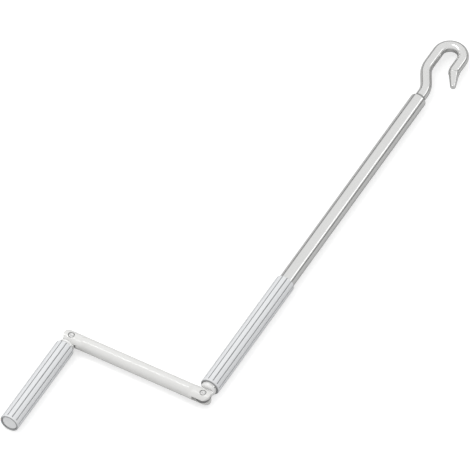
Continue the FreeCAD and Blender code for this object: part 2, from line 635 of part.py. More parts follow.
# ---------------------------------------------------------------- hook
def hook_route(body):
    """The axis of the bent rod, from inside the tube, over the neck and round the loop to the tip."""
    sketch = new_sketch(body, "hook_route", "XY_Plane")
    neck_angle = FreeCAD.Units.Quantity(value("dim.neck_angle"), "deg").getValueAs("rad").Value
    tip_angle = FreeCAD.Units.Quantity(value("dim.tip_angle"), "deg").getValueAs("rad").Value
    neck_r = value("dim.neck_radius")
    loop_r = value("dim.loop_radius")
    tip_r = value("dim.tip_radius")
    quarter = FreeCAD.Units.Quantity(90, "deg").getValueAs("rad").Value

    def arc(centre, radius, start, end):
        circle = Part.Circle(centre, Z_AXIS, radius)
        return sketch.addGeometry(Part.ArcOfCircle(circle, start, end))

    def line(start, end):
        return sketch.addGeometry(Part.LineSegment(start, end))

    start = Vector(value("dim.shaft_length - dim.rod_insertion"), 0, 0)
    neck = Vector(value(NECK_START), 0, 0)
    lead = Vector(value(NECK_END), loop_r, 0)
    loop = Vector(value(LOOP_CENTRE), 0, 0)
    turn_back = Vector(value(f"{LOOP_CENTRE} - dim.loop_return"), -loop_r, 0)

    shank = line(start, neck)
    first_bend = arc(neck + Vector(0, neck_r, 0), neck_r, -quarter, neck_angle - quarter)
    second_bend = arc(lead - Vector(0, neck_r, 0), neck_r, quarter, quarter + neck_angle)
    slope = line(
        sketch.Geometry[first_bend].EndPoint, sketch.Geometry[second_bend].EndPoint,
    )
    lead_run = line(lead, loop + Vector(0, loop_r, 0))
    turn = arc(loop, loop_r, -quarter, quarter)
    return_run = line(loop - Vector(0, loop_r, 0), turn_back)
    tip_bend = arc(turn_back - Vector(0, tip_r, 0), tip_r, quarter, quarter + tip_angle)

    for first, first_end, second, second_end in (
        (shank, 2, first_bend, 1), (first_bend, 2, slope, 1), (slope, 2, second_bend, 2),
        (second_bend, 1, lead_run, 1), (lead_run, 2, turn, 2), (turn, 1, return_run, 1),
        (return_run, 2, tip_bend, 1),
    ):
        sketch.addConstraint(Sketcher.Constraint("Tangent", first, first_end, second, second_end))
    for run in (shank, lead_run, return_run):
        sketch.addConstraint(Sketcher.Constraint("Horizontal", run))
    pin_point(sketch, shank, 1, "dim.shaft_length - dim.rod_insertion", "0")
    constrain(sketch, "DistanceX", shank, 2, size=NECK_START)
    constrain(sketch, "Radius", first_bend, size="dim.neck_radius")
    constrain(sketch, "Radius", second_bend, size="dim.neck_radius")
    constrain(sketch, "DistanceY", lead_run, 1, size="dim.loop_radius")
    constrain(sketch, "DistanceX", lead_run, 1, size=NECK_END)
    constrain(sketch, "DistanceX", turn, 3, size=LOOP_CENTRE)
    constrain(sketch, "Radius", turn, size="dim.loop_radius")
    constrain(sketch, "Distance", return_run, size="dim.loop_return")
    constrain(sketch, "Radius", tip_bend, size="dim.tip_radius")
    constrain(sketch, "DistanceX", tip_bend, 2, size=TIP_START_X)
    return sketch


def hook(label):
    """Round rod bent into an offset neck and a loop, with a tapered tip that splays outwards."""
    body = new_body(label)
    route = hook_route(body)
    section = new_sketch(body, "hook_section", "YZ_Plane", lift="dim.shaft_length - dim.rod_insertion")
    add_circle(section, ROD_R)
    doc.recompute()
    rod = body.newObject("PartDesign::AdditivePipe", "hook_rod")
    rod.Profile = section
    rod.Spine = (route, [f"Edge{index + 1}" for index in range(len(route.Shape.Edges))])
    doc.recompute()

    tip = body.newObject("PartDesign::AdditiveCone", "hook_tip")
    tip.setExpression("Radius1", ROD_R)
    tip.setExpression("Radius2", "dim.tip_diameter / 2")
    tip.setExpression("Height", "dim.tip_length")
    splay = Rotation(Z_AXIS, value("dim.tip_angle"))
    tip.Placement = Placement(Vector(), Rotation(Z_AXIS, splay.multVec(Vector(-1, 0, 0))))
    tip.setExpression("Placement.Base.x", TIP_START_X)
    tip.setExpression("Placement.Base.y", TIP_START_Y)
    doc.recompute()
    blunt_r = value("dim.tip_diameter / 2")
    round_edges(body, "hook_tip_rounding", "dim.tip_edge", lambda edge: abs(edge.Curve.Radius - blunt_r) < 1e-4)

    seat = new_sketch(body, "hook_screw_seat", "XY_Plane", lift=f"0 - {ROD_R} - {REACH_PAST}")
    add_circle(seat, SCREW_HOLE_R, SCREW_CENTRE, "0")
    pocket(body, seat, length=f"dim.screw_bite + {REACH_PAST}", against_normal=False)
    return keep(body, label, Placement(PIVOT_A, Rotation()))


def hook_screw(label):
    """Grub screw that comes up through tube and bush and bites into the hook rod."""
    inner = f"({ROD_R} - dim.screw_bite)"
    outer = f"({TUBE_R} - dim.screw_sink)"
    body = turned(label, [
        ("0", f"0 - {outer}"), ("dim.screw_diameter / 2", f"0 - {outer}"),
        ("dim.screw_diameter / 2", f"0 - {inner}"), ("0", f"0 - {inner}"),
    ])
    socket = new_sketch(body, label + "_socket", "XY_Plane", lift=f"0 - {outer} - {REACH_PAST}")
    corners = [
        (f"dim.screw_socket / cos(30) / 2 * cos({60 * k})", f"dim.screw_socket / cos(30) / 2 * sin({60 * k})")
        for k in range(6)
    ]
    add_polygon(socket, corners)
    pocket(body, socket, length=f"dim.screw_socket_depth + {REACH_PAST}", against_normal=False)
    return keep(body, label, Placement(PIVOT_A + Vector(value(SCREW_CENTRE), 0, 0), Rotation()))


hook("hook")
hook_screw("hook_screw")

# ---------------------------------------------------------------- check and write every sub-part
doc.recompute()
for thing in doc.Objects:
    if {"Invalid", "Error"} & set(thing.State):
        raise RuntimeError(f"{thing.Label} failed: {thing.State}")
for piece in nodes:
    if piece.Shape.isNull() or not piece.Shape.isValid() or not piece.Shape.Solids:
        raise RuntimeError(f"{piece.Label} has no valid solid")

os.makedirs("parts", exist_ok=True)
for piece in nodes:
    piece.Shape.exportStep(f"parts/{piece.Label}.step")
    box = piece.Shape.BoundBox
    print(
        f"{piece.Label:28s} {len(piece.Shape.Solids)} solid, {piece.Shape.Volume:9.1f} mm3, "
        f"x {box.XMin:8.2f} {box.XMax:8.2f}  y {box.YMin:7.2f} {box.YMax:7.2f}  z {box.ZMin:6.2f} {box.ZMax:6.2f}"
    )
print(f"{len(nodes)} sub-parts, loop centre {value(LOOP_CENTRE):.3f} mm from pivot A")
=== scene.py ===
"""Looks of the folding hook crank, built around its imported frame.

The crank lies flat: the shaft along X, the arm along Y, the handle along -X and the hinge pins
along Z. The origin is the centre of the hook's loop. Every length is in metres.
"""
import math

import bpy
from mathutils import Matrix, Quaternion, Vector


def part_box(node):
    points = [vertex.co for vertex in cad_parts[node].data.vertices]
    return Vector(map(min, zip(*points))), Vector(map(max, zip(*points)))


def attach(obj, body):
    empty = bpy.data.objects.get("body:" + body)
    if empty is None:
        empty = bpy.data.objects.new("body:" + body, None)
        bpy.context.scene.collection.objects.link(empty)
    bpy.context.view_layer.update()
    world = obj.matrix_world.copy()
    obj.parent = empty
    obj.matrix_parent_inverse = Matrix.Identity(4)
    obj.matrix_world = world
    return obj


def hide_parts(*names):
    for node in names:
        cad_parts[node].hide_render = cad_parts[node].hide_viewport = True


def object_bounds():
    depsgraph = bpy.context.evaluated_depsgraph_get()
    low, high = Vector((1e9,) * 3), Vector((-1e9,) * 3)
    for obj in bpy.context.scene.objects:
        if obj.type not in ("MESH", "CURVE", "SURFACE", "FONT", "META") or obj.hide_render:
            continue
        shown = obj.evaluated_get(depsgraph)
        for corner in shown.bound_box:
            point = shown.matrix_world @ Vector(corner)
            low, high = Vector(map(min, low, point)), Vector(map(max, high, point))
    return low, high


bl_info = {
    "name": "Folding Hook Crank",
    "version": (1, 0, 0),
    "blender": (4, 5, 0),
    "location": "3D View > Sidebar > Crank",
    "description": "Models and finishes a folding winding crank piece by piece",
    "category": "Add Mesh",
}

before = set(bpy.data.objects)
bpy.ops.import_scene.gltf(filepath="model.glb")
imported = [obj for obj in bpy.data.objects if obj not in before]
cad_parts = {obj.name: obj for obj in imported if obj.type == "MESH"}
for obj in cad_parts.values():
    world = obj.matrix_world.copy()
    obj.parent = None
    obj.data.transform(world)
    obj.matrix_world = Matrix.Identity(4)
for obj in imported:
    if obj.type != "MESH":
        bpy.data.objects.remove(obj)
CAD_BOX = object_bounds()

X_AXIS, Y_AXIS, Z_AXIS = Vector((1, 0, 0)), Vector((0, 1, 0)), Vector((0, 0, 1))
MM = 0.001
ROUND_SIDES = 96        # tubes, flanges and arm
GRIP_SIDES = 144
NOSE_SIDES = 128
SMALL_SIDES = 64        # hook rod, rivets and bores
SMOOTH_ANGLE = math.radians(32)
MERGE_GAP = 0.01 * MM
CUT_PAST = 5 * MM       # how far a cutter reaches past what it cuts


def middle(node):
    low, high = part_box(node)
    return (low + high) / 2


def extent(node):
    low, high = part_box(node)
    return high - low


SHAFT_LOW, SHAFT_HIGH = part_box("shaft_tube")
ARM_LOW, ARM_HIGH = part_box("arm_tube")
SHAFT_PIVOT = middle("shaft_hinge_rivet")
HANDLE_PIVOT = middle("handle_hinge_rivet")
PIVOTS = (tuple(SHAFT_PIVOT), tuple(HANDLE_PIVOT))
NOSE_RADIUS = (ARM_HIGH.x - ARM_LOW.x) / 2
TUBE_RADIUS = extent("handle_tube").z / 2
GRIP_RADIUS = extent("shaft_grip").z / 2

FLOOR_SIZE = 60
OVERHEAD_PLACE, OVERHEAD_SIZE = Vector((-0.15, 0.75, 1.6)), (0.25, 1.4)
STRIP_PLACE, STRIP_SIZE = Vector((3.3, -4.3, 2.35)), (4.0, 0.55)
AIM_FROM_SHAFT_PIVOT = Vector((0.20853, 0.07949, 0))
SENSOR_WIDTH = 36
NEAREST, FARTHEST = 0.1, 200


# ---------------------------------------------------------------- sizes and colours
def length(name, description, default):
    return bpy.props.FloatProperty(
        name=name, description=description, default=default, min=0.0, unit="LENGTH", precision=5,
    )


def angle(name, description, degrees):
    return bpy.props.FloatProperty(
        name=name, description=description, default=math.radians(degrees), unit="ROTATION",
    )


def colour(name, description, default):
    return bpy.props.FloatVectorProperty(
        name=name, description=description, default=default, size=4, min=0.0, max=1.0,
        subtype="COLOR",
    )


def share(name, description, default):
    return bpy.props.FloatProperty(
        name=name, description=description, default=default, min=0.0, max=1.0, subtype="FACTOR",
    )


class CrankTubeSizes(bpy.types.PropertyGroup):
    """Shaft tube and handle tube."""
    wall: length("Tube wall", "Wall of both tubes", 1.5 * MM)
    hook_end_round: length("Hook end round", "Rounding of the shaft tube's open end", 1.3 * MM)


class CrankGripSizes(bpy.types.PropertyGroup):
    """Revolving grips."""
    wall: length("Grip wall", "Wall of both grips", 1.92 * MM)
    groove_count: bpy.props.IntProperty(
        name="Grooves", description="Grooves round each grip", default=12, min=3,
    )
    groove_width: length("Groove width", "Width of a groove", 1.2 * MM)
    groove_depth: length("Groove depth", "Depth of a groove", 0.75 * MM)
    groove_lip: length("Groove lip", "Rounding of a groove's two edges", 0.22 * MM)
    rim: length("Smooth rim", "Plain rim that the grooves leave", 2.2 * MM)
    end_round: length("End round", "Rounding of a grip's ends", 1.1 * MM)


class CrankHookSizes(bpy.types.PropertyGroup):
    """Bent hook rod."""
    neck_angle: angle("Neck angle", "Angle at which the neck leaves the shaft's axis", 30)
    neck_radius: length("Neck radius", "Both bends of the neck", 28 * MM)
    loop_radius: length("Loop radius", "Loop of the hook, to the rod's axis", 14.3 * MM)
    lead: length("Lead", "Straight run from the neck to the loop", 20.3 * MM)
    back: length("Return", "Straight run after the loop", 14 * MM)
    tip_angle: angle("Tip angle", "Angle at which the tip splays out", 26)
    tip_radius: length("Tip bend", "Bend before the tip", 11 * MM)
    tip_length: length("Tip length", "Tapered tip", 20 * MM)
    tip_end_radius: length("Tip end", "Radius of the blunt end", 3 * MM)
    tip_round: length("Tip round", "Rounding of the blunt end", 0.6 * MM)
    tip_step: length("Tip step", "Small ground step where the taper begins", 0.5 * MM)


class CrankArmSizes(bpy.types.PropertyGroup):
    """Arm with flattened, forked ends."""
    flat_half_height: length(
        "Half height of the flat", "Half the flattened end, along the pin", 6.7 * MM,
    )
    flat_run: length("Flat run", "Pivot to the end of the flattened stretch", 11.5 * MM)
    blend: length("Blend", "Stretch from flattened to round", 5 * MM)
    slot: length("Slot", "Fork slot, along the pin", 5 * MM)
    slot_depth: length("Slot depth", "Pivot to the bottom of the slot", 9.7 * MM)
    recess_radius: length("Recess radius", "Spot-faced recess around a rivet", 3.5 * MM)
    recess_depth: length("Recess depth", "Depth of that recess", 1.1 * MM)
    edge_round: length("Edge round", "Rounding of the fork's cut edges", 0.3 * MM)


class CrankHingeSizes(bpy.types.PropertyGroup):
    """Tongues, flanges and rivets."""
    tongue_half_width: length("Tongue half width", "Half the width of a tongue", 7.5 * MM)
    tongue_thickness: length("Tongue thickness", "Tongue, along the pin", 4.1 * MM)
    stop_gap: length("Stop gap", "Fork side to flange", 0.3 * MM)
    flange_thickness: length("Flange thickness", "Flange, along the rod", 3.2 * MM)
    flange_bevel: length("Flange bevel", "Bevel of the flange's hinge side", 1.4 * MM)
    bore_play: length("Bore play", "Radial play of the rivet in a tongue", 0.05 * MM)
    rivet_radius: length("Rivet radius", "Radius of the rivet's shank", 2.5 * MM)
    head_height: length("Head height", "Height of the rivet's upset end", 0.9 * MM)
    dimple_radius: length("Dimple radius", "Punch mark in the rivet's end", 1.1 * MM)
    dimple_depth: length("Dimple depth", "Depth of the punch mark", 0.5 * MM)


class CrankColours(bpy.types.PropertyGroup):
    """Base colours of the finishes."""
    metal: colour("Tube metal", "Satin plating of tubes and hook", (0.745, 0.745, 0.738, 1))
    arm_paint: colour("Arm paint", "Satin paint of the arm", (0.715, 0.713, 0.70, 1))
    grip: colour("Grip", "Moulded plastic of the grips", (0.725, 0.736, 0.748, 1))
    cap: colour("End plug", "Moulded plastic of the end plug", (0.86, 0.868, 0.876, 1))
    zinc: colour("Zinc", "Zinc plate of rivets, rings and pins", (0.66, 0.66, 0.655, 1))
    pale_zinc: colour("Pale zinc", "Pale zinc plate of the hinge tongues", (0.86, 0.86, 0.855, 1))
    # near black: the washers show as painted shade in the fork slots
    nylon: colour("Nylon", "Hinge washers", (0.09, 0.09, 0.092, 1))
    floor: colour("Floor", "Studio floor", (0.58, 0.58, 0.58, 1))


class CrankStudio(bpy.types.PropertyGroup):
    """Light and camera."""
    azimuth: angle("Azimuth", "Camera's bearing around the crank", -59.856)
    elevation: angle("Elevation", "Camera's height angle", 50.746)
    roll: angle("Roll", "Camera's turn about its own axis", -0.71)
    distance: length("Distance", "Camera to the point it looks at", 16.751)
    lens: bpy.props.FloatProperty(
        name="Lens", description="Focal length of the camera", default=1200.0, min=1.0,
        unit="CAMERA",
    )
    key_power: bpy.props.FloatProperty(
        name="Key light", description="Power of the overhead light", default=7.5, min=0.0,
        unit="POWER",
    )
    strip_power: bpy.props.FloatProperty(
        name="Side strip", description="Power of the low strip light", default=9.0, min=0.0,
        unit="POWER",
    )
    surround: share("Surround", "Brightness of the surroundings", 0.97)
    horizon: share("Horizon", "Brightness of the surroundings at the horizon", 0.12)
    low_fill: share("Low fill", "Brightness of the horizon beyond the handle", 0.70)
    floor_glow: share("Floor glow", "Light that the floor shows by itself", 0.56)


# ---------------------------------------------------------------- shader maths
class Field:
    """A node's output that takes part in plain arithmetic."""

    def __init__(self, finish, socket):
        self.finish = finish
        self.socket = socket

    def _maths(self, operation, first, second):
        return self.finish.node("ShaderNodeMath", {"operation": operation}, {0: first, 1: second})

    def __add__(self, other):
        return self._maths("ADD", self, other)

    __radd__ = __add__

    def __sub__(self, other):
        return self._maths("SUBTRACT", self, other)

    def __rsub__(self, other):
        return self._maths("SUBTRACT", other, self)

    def __mul__(self, other):
        return self._maths("MULTIPLY", self, other)

    __rmul__ = __mul__


class Nodes:
    """A node tree that is written as expressions."""

    def __init__(self, tree):
        self.tree = tree

    def node(self, kind, settings=None, inputs=None, output=0):
        """Adds a node, makes its settings, then gives its inputs values or links."""
        made = self.tree.nodes.new(kind)
        for setting, choice in (settings or {}).items():
            if setting == "stops":
                ramp = made.color_ramp.elements
                while len(ramp) < len(choice):
                    ramp.new(1.0)
                for stop, (position, tint) in zip(ramp, choice):
                    stop.position = position
                    stop.color = tint
            else:
                setattr(made, setting, choice)
        for socket, given in (inputs or {}).items():
            if isinstance(given, Field):
                self.tree.links.new(given.socket, made.inputs[socket])
            else:
                made.inputs[socket].default_value = given
        return Field(self, made.outputs[output])

    def rise(self, field, low, high):
        """0 below low and 1 above high, with a smooth rise between."""
        return self.node(
            "ShaderNodeMapRange", {"interpolation_type": "SMOOTHSTEP"},
            {"Value": field, "From Min": low, "From Max": high},
        )


class Finish(Nodes):
    """One procedural material, written as expressions on values over the surface."""

    def __init__(self, name, **constants):
        self.material = bpy.data.materials.new(name)
        self.material.use_nodes = True
        super().__init__(self.material.node_tree)
        self.shader = self.tree.nodes["Principled BSDF"]
        for socket, number in constants.items():
            self.shader.inputs[socket.replace("_", " ")].default_value = number

    def feed(self, socket, field):
        self.tree.links.new(field.socket, self.shader.inputs[socket])

    def place(self):
        return self.node("ShaderNodeTexCoord", output="Object")

    def along(self, scale, centre=(0, 0, 0)):
        """Object coordinates measured from a centre and stretched per axis."""
        shifted = self.node(
            "ShaderNodeVectorMath", {"operation": "SUBTRACT"}, {0: self.place(), 1: centre},
        )
        return self.node("ShaderNodeVectorMath", {"operation": "MULTIPLY"}, {0: shifted, 1: scale})

    def noise(self, scale, detail=2.0, roughness=0.5, where=None):
        return self.node("ShaderNodeTexNoise", None, {
            "Vector": where or self.place(), "Scale": scale, "Detail": detail,
            "Roughness": roughness,
        })

    def grains(self, scale):
        return self.node("ShaderNodeTexVoronoi", None, {"Vector": self.place(), "Scale": scale})

    def distance(self, scale, centre):
        """Distance from a centre, with axes of scale 0 left out."""
        return self.node(
            "ShaderNodeVectorMath", {"operation": "LENGTH"}, {0: self.along(scale, centre)},
            output="Value",
        )

    def blend(self, factor, first, second):
        """A colour between two colours."""
        return self.node(
            "ShaderNodeMix", {"data_type": "RGBA"}, {0: factor, 6: first, 7: second}, output=2,
        )

    def shades(self, factor, shade, dark, light):
        """A shade that varies between a darker and a lighter tint of it."""
        return self.blend(factor, tint(shade, dark), tint(shade, light))

    def stained(self, factor, coat, shade, depth):
        """A coat that gives way to a darker tint of its shade."""
        return self.blend(factor, coat, tint(shade, depth))

    def bump(self, height, strength, distance):
        self.feed("Normal", self.node(
            "ShaderNodeBump", None, {"Height": height, "Strength": strength, "Distance": distance},
        ))


def tint(shade, factor):
    return tuple(min(1.0, channel * factor) for channel in shade[:3]) + (1.0,)


def satin_metal(name, shade, lay, rubbed_at, mouth=None):
    """Satin plated metal with draw marks along its lay, rubbed spots and painted shade inside a
    tube's mouth.
    """
    finish = Finish(name, Metallic=1.0)
    cloud = finish.noise(scale=38.0, detail=3.0)
    marks = finish.noise(scale=1.0, detail=3.0, roughness=0.6, where=finish.along(lay))
    rubbed = 0.0
    for centre, near, far in rubbed_at:
        rubbed = rubbed + (1 - finish.rise(finish.distance((1, 1, 1), centre), near, far))
    scuffs = finish.rise(
        finish.noise(scale=900.0, detail=4.0, roughness=0.6), low=0.55, high=0.72,
    )
    rub = rubbed * scuffs
    coat = finish.shades(cloud, shade, dark=0.965, light=1.03)
    coat = finish.stained(finish.rise(marks, low=0.35, high=0.70) * 0.5, coat, shade, depth=0.94)
    coat = finish.stained(rub * 0.4, coat, shade, depth=0.84)
    painted_mouth_shade = 0.0
    # painted shade: the metal is darkened within a few millimetres of the tube's mouth, on the rod
    # and on the bush
    if mouth is not None:
        beyond = finish.distance((1, 0, 0), (mouth, 0, 0))
        painted_mouth_shade = 1 - finish.rise(beyond, low=2.4 * MM, high=3.6 * MM)
        coat = finish.stained(painted_mouth_shade, coat, shade, depth=0.40)
    finish.feed("Base Color", coat)
    finish.feed("Roughness", 0.13 + 0.05 * cloud + 0.04 * marks + 0.14 * rub + 0.2 * painted_mouth_shade)
    finish.bump(marks + 0.5 * scuffs * rubbed, strength=0.08, distance=0.08 * MM)
    return finish.material


def satin_paint(name, shade, pivots, recess, face):
    """Satin stoved paint with orange peel, painted shade in the rivet recesses and rubbed round
    them.
    """
    finish = Finish(name, Specular_IOR_Level=0.6)
    mottle = finish.noise(scale=38.0, detail=3.0)
    speck = finish.rise(finish.noise(scale=1900.0, detail=1.0), low=0.66, high=0.76)
    painted_recess_shade, rub = 0.0, 0.0
    for pivot in pivots:
        from_pin = finish.distance((1, 1, 0), pivot)
        off_plane = finish.distance((0, 0, 1), pivot)
        in_recess = 1 - finish.rise(from_pin, recess, recess + 0.3 * MM)
        near_face = finish.rise(off_plane, face - 2 * MM, face - 1.2 * MM)
        # painted shade: the paint inside each rivet recess, near the flat face, is darkened
        painted_recess_shade = painted_recess_shade + in_recess * near_face
        rub = rub + (1 - finish.rise(from_pin, 2 * recess, 3.2 * recess))
    rub = rub * finish.rise(
        finish.noise(scale=700.0, detail=4.0, roughness=0.6), low=0.55, high=0.72,
    )
    coat = finish.shades(mottle, shade, dark=0.965, light=1.03)
    coat = finish.stained(speck * 0.35, coat, shade, depth=0.86)
    coat = finish.stained(rub * 0.35, coat, shade, depth=0.86)
    finish.feed("Base Color", finish.stained(painted_recess_shade, coat, shade, depth=0.30))
    finish.feed("Roughness", 0.11 + 0.05 * mottle + 0.12 * rub + 0.2 * painted_recess_shade)
    peel = finish.noise(scale=620.0)
    finish.bump(peel + 0.3 * rub, strength=0.05, distance=0.12 * MM)
    return finish.material


def moulded_plastic(name, shade, axis, groove_floor, groove_top):
    """Matt moulded plastic with a fine spark-eroded grain and painted shade in the grooves."""
    finish = Finish(name, Specular_IOR_Level=0.42)
    grain = finish.noise(scale=2600.0, roughness=0.6)
    mottle = finish.noise(scale=55.0, detail=3.0)
    raised = finish.rise(finish.distance((0, 1, 1), axis), groove_floor, groove_top)
    # painted shade: the groove floors are darkened, a little unevenly
    painted_groove_shade = (1 - raised) * (0.65 + 0.35 * mottle)
    coat = finish.shades(mottle, shade, dark=0.965, light=1.03)
    coat = finish.stained(finish.rise(grain, low=0.35, high=0.75) * 0.22, coat, shade, depth=0.90)
    finish.feed("Base Color", finish.stained(painted_groove_shade, coat, shade, depth=0.40))
    finish.feed("Roughness", 0.56 + 0.12 * grain + 0.08 * painted_groove_shade)
    finish.bump(grain, strength=0.22, distance=0.10 * MM)
    return finish.material


def plug_plastic(name, shade, centre):
    """Matt plastic of the end plug, with the faint rings of a turned mould."""
    finish = Finish(name, Specular_IOR_Level=0.42)
    waves = finish.distance((0, 1, 1), centre) * 9000.0
    rings = finish.node("ShaderNodeMath", {"operation": "SINE"}, {0: waves})
    mottle = finish.noise(scale=180.0, detail=3.0)
    finish.feed("Base Color", finish.shades(mottle, shade, dark=0.95, light=1.03))
    finish.feed("Roughness", 0.50 + 0.10 * mottle)
    finish.bump(rings * 0.5 + finish.noise(scale=2400.0), strength=0.16, distance=0.06 * MM)
    return finish.material


def zinc_plate(name, shade, metallic, pivots=(), fork_shade_radius=0.0):
    """Passivated zinc plate: fine grains, a turned lay, duller spots, painted shade inside the
    forks.
    """
    finish = Finish(name, Specular_IOR_Level=0.5)
    cells = finish.grains(scale=900.0)
    lay = finish.noise(
        scale=1.0, detail=3.0, roughness=0.6, where=finish.along((400, 400, 5200)),
    )
    dull = finish.rise(finish.noise(scale=120.0, detail=4.0), low=0.45, high=0.70)
    coat = finish.shades(lay, shade, dark=0.94, light=1.05)
    coat = finish.stained(dull * 0.5, coat, shade, depth=0.88)
    for pivot in pivots:
        from_pin = finish.distance((1, 1, 0), pivot)
        # painted shade: the tongue is darkened near the pin, where it sits in the fork's slot
        painted_fork_shade = 1 - finish.rise(from_pin, fork_shade_radius, fork_shade_radius + 0.6 * MM)
        coat = finish.stained(painted_fork_shade, coat, shade, depth=0.26)
    finish.feed("Base Color", coat)
    finish.feed("Metallic", metallic - 0.2 * metallic * dull)
    finish.feed("Roughness", 0.33 + 0.14 * dull + 0.08 * lay)
    finish.bump(lay + 0.6 * cells, strength=0.12, distance=0.08 * MM)
    return finish.material


def nylon(name, shade):
    """Nylon of the hinge washers, near black so that they show as painted shade in the fork slots.
    """
    finish = Finish(name, Specular_IOR_Level=0.4)
    cloud = finish.noise(scale=400.0, detail=3.0)
    finish.feed("Base Color", finish.shades(cloud, shade, dark=0.9, light=1.08))
    finish.feed("Roughness", 0.45 + 0.15 * cloud)
    finish.bump(cloud, strength=0.1, distance=0.05 * MM)
    return finish.material


# ---------------------------------------------------------------- modelling by hand
def deselect():
    if bpy.context.object and bpy.context.object.mode != "OBJECT":
        bpy.ops.object.mode_set(mode="OBJECT")
    bpy.ops.object.select_all(action="DESELECT")


def use(piece):
    deselect()
    piece.select_set(True)
    bpy.context.view_layer.objects.active = piece


def start_piece(name):
    """Names the primitive that was just added and settles its place into its mesh."""
    piece = bpy.context.object
    piece.name = name
    piece.data.name = name
    bpy.ops.object.transform_apply(location=True, rotation=True, scale=True)
    return piece


def facing(direction):
    """Turn that lays a primitive's own Z along a direction."""
    return Z_AXIS.rotation_difference(direction).to_euler()


def disc(name, centre, direction, radius, sides=ROUND_SIDES):
    """An open circle, ready to be extruded in edit mode."""
    deselect()
    bpy.ops.mesh.primitive_circle_add(
        vertices=sides, radius=radius, fill_type="NOTHING", location=centre,
        rotation=facing(direction),
    )
    return start_piece(name)


def edit_all():
    """Opens the active piece in edit mode, all of it selected."""
    bpy.ops.object.mode_set(mode="EDIT")
    bpy.ops.mesh.select_all(action="SELECT")


def extrude(step):
    bpy.ops.mesh.extrude_region_move(
        TRANSFORM_OT_translate={"value": step, "orient_type": "GLOBAL"},
    )


def rescale(factors, centre):
    bpy.ops.transform.resize(value=factors, orient_type="GLOBAL", center_override=centre)


def tidy_mesh():
    """Merges doubled corners and turns every face outwards, in edit mode."""
    bpy.ops.mesh.select_all(action="SELECT")
    bpy.ops.mesh.remove_doubles(threshold=MERGE_GAP)
    bpy.ops.mesh.normals_make_consistent(inside=False)
    bpy.ops.object.mode_set(mode="OBJECT")


def close_rims():
    """Caps the piece's open round ends, in edit mode."""
    bpy.ops.mesh.select_all(action="SELECT")
    bpy.ops.mesh.region_to_loop()
    bpy.ops.mesh.fill_holes(sides=0)


def turned(name, centre, direction, stations, sides=ROUND_SIDES, ring=False):
    """Extrudes a circle through (distance, radius) stations. A ring ends where it began."""
    distance, radius = stations[0]
    piece = disc(name, centre + direction * distance, direction, radius, sides)
    edit_all()
    for next_distance, next_radius in stations[1:] + (stations[:1] if ring else []):
        extrude(direction * (next_distance - distance))
        factor = next_radius / radius
        rescale((factor, factor, factor), centre + direction * next_distance)
        distance, radius = next_distance, next_radius
    if not ring:
        close_rims()
    tidy_mesh()
    return piece


def rounded(distance, radius, size, towards, steps=4, rising=False):
    """Stations of a quarter round from the barrel to an end face, or back when rising."""
    stations = []
    for step in range(steps + 1):
        swing = math.pi / 2 * step / steps
        along = towards * size * (math.sin(swing) - 1)
        stations.append((distance + along, radius + size * (math.cos(swing) - 1)))
    return stations[::-1] if rising else stations


def stretch(centre, stations, steps):
    """Extrudes the open rim along Y through (distance, (half width, half height)) stations.

    Where two stations differ, the section changes in steps along a smooth curve."""
    for (start, first), (end, last) in zip(stations, stations[1:]):
        pieces = steps if first != last else 1
        made_width, made_height = first
        for step in range(1, pieces + 1):
            mix = step / pieces
            ease = mix * mix * (3 - 2 * mix)
            width = first[0] + (last[0] - first[0]) * ease
            height = first[1] + (last[1] - first[1]) * ease
            extrude(Y_AXIS * (end - start) / pieces)
            place = centre + Y_AXIS * (start + (end - start) * mix)
            rescale((width / made_width, 1, height / made_height), place)
            made_width, made_height = width, height


class RodEnd:
    """The open end of a rod in edit mode: its place and its heading in the crank's plane."""

    def __init__(self, place, heading):
        self.place = place
        self.heading = heading

    def straight(self, distance):
        """Draws the rod straight on."""
        extrude(self.heading * distance)
        self.place = self.place + self.heading * distance

    def bend(self, swing, radius, steps):
        """Bends the rod on by an angle, to the left when positive."""
        left = Vector((-self.heading.y, self.heading.x, 0))
        centre = self.place + left * math.copysign(radius, swing)
        # spin counts its angle clockwise about its axis
        bpy.ops.mesh.spin(steps=steps, angle=-swing, center=centre, axis=(0, 0, 1))
        turn = Matrix.Rotation(swing, 3, "Z")
        self.place = centre + turn @ (self.place - centre)
        self.heading = turn @ self.heading


def block(name, low, high):
    """A box between two corners, ready to be cut or to cut."""
    deselect()
    low, high = Vector(low), Vector(high)
    bpy.ops.mesh.primitive_cube_add(size=1, location=(low + high) / 2, scale=high - low)
    return start_piece(name)


def barrel(name, centre, direction, radius, depth, sides=ROUND_SIDES):
    deselect()
    bpy.ops.mesh.primitive_cylinder_add(
        vertices=sides, radius=radius, depth=depth, location=centre, rotation=facing(direction),
    )
    return start_piece(name)


def combine(piece, other, operation):
    """Joins, cuts or trims a piece with another, which is used up."""
    use(piece)
    bpy.ops.object.modifier_add(type="BOOLEAN")
    modifier = piece.modifiers[-1]
    modifier.object = other
    modifier.operation = operation
    modifier.solver = "EXACT"
    bpy.ops.object.modifier_apply(modifier=modifier.name)
    bpy.data.objects.remove(other)
    return piece


def copies(source, turns):
    """Copies of a piece, each with its own mesh, moved by the given matrices and joined."""
    made = []
    for turn in turns:
        twin = source.copy()
        twin.data = source.data.copy()
        bpy.context.scene.collection.objects.link(twin)
        twin.data.transform(turn)
        made.append(twin)
    deselect()
    for twin in made:
        twin.select_set(True)
    bpy.context.view_layer.objects.active = made[0]
    bpy.ops.object.join()
    bpy.data.objects.remove(source)
    return made[0]


def soften(piece, width, limit):
    """Rounds the edges where faces meet at more than the limit, in degrees."""
    use(piece)
    bpy.ops.object.modifier_add(type="BEVEL")
    modifier = piece.modifiers[-1]
    modifier.width = width
    modifier.segments = 2
    modifier.limit_method = "ANGLE"
    modifier.angle_limit = math.radians(limit)
    modifier.use_clamp_overlap = True
    bpy.ops.object.modifier_apply(modifier=modifier.name)
    return piece


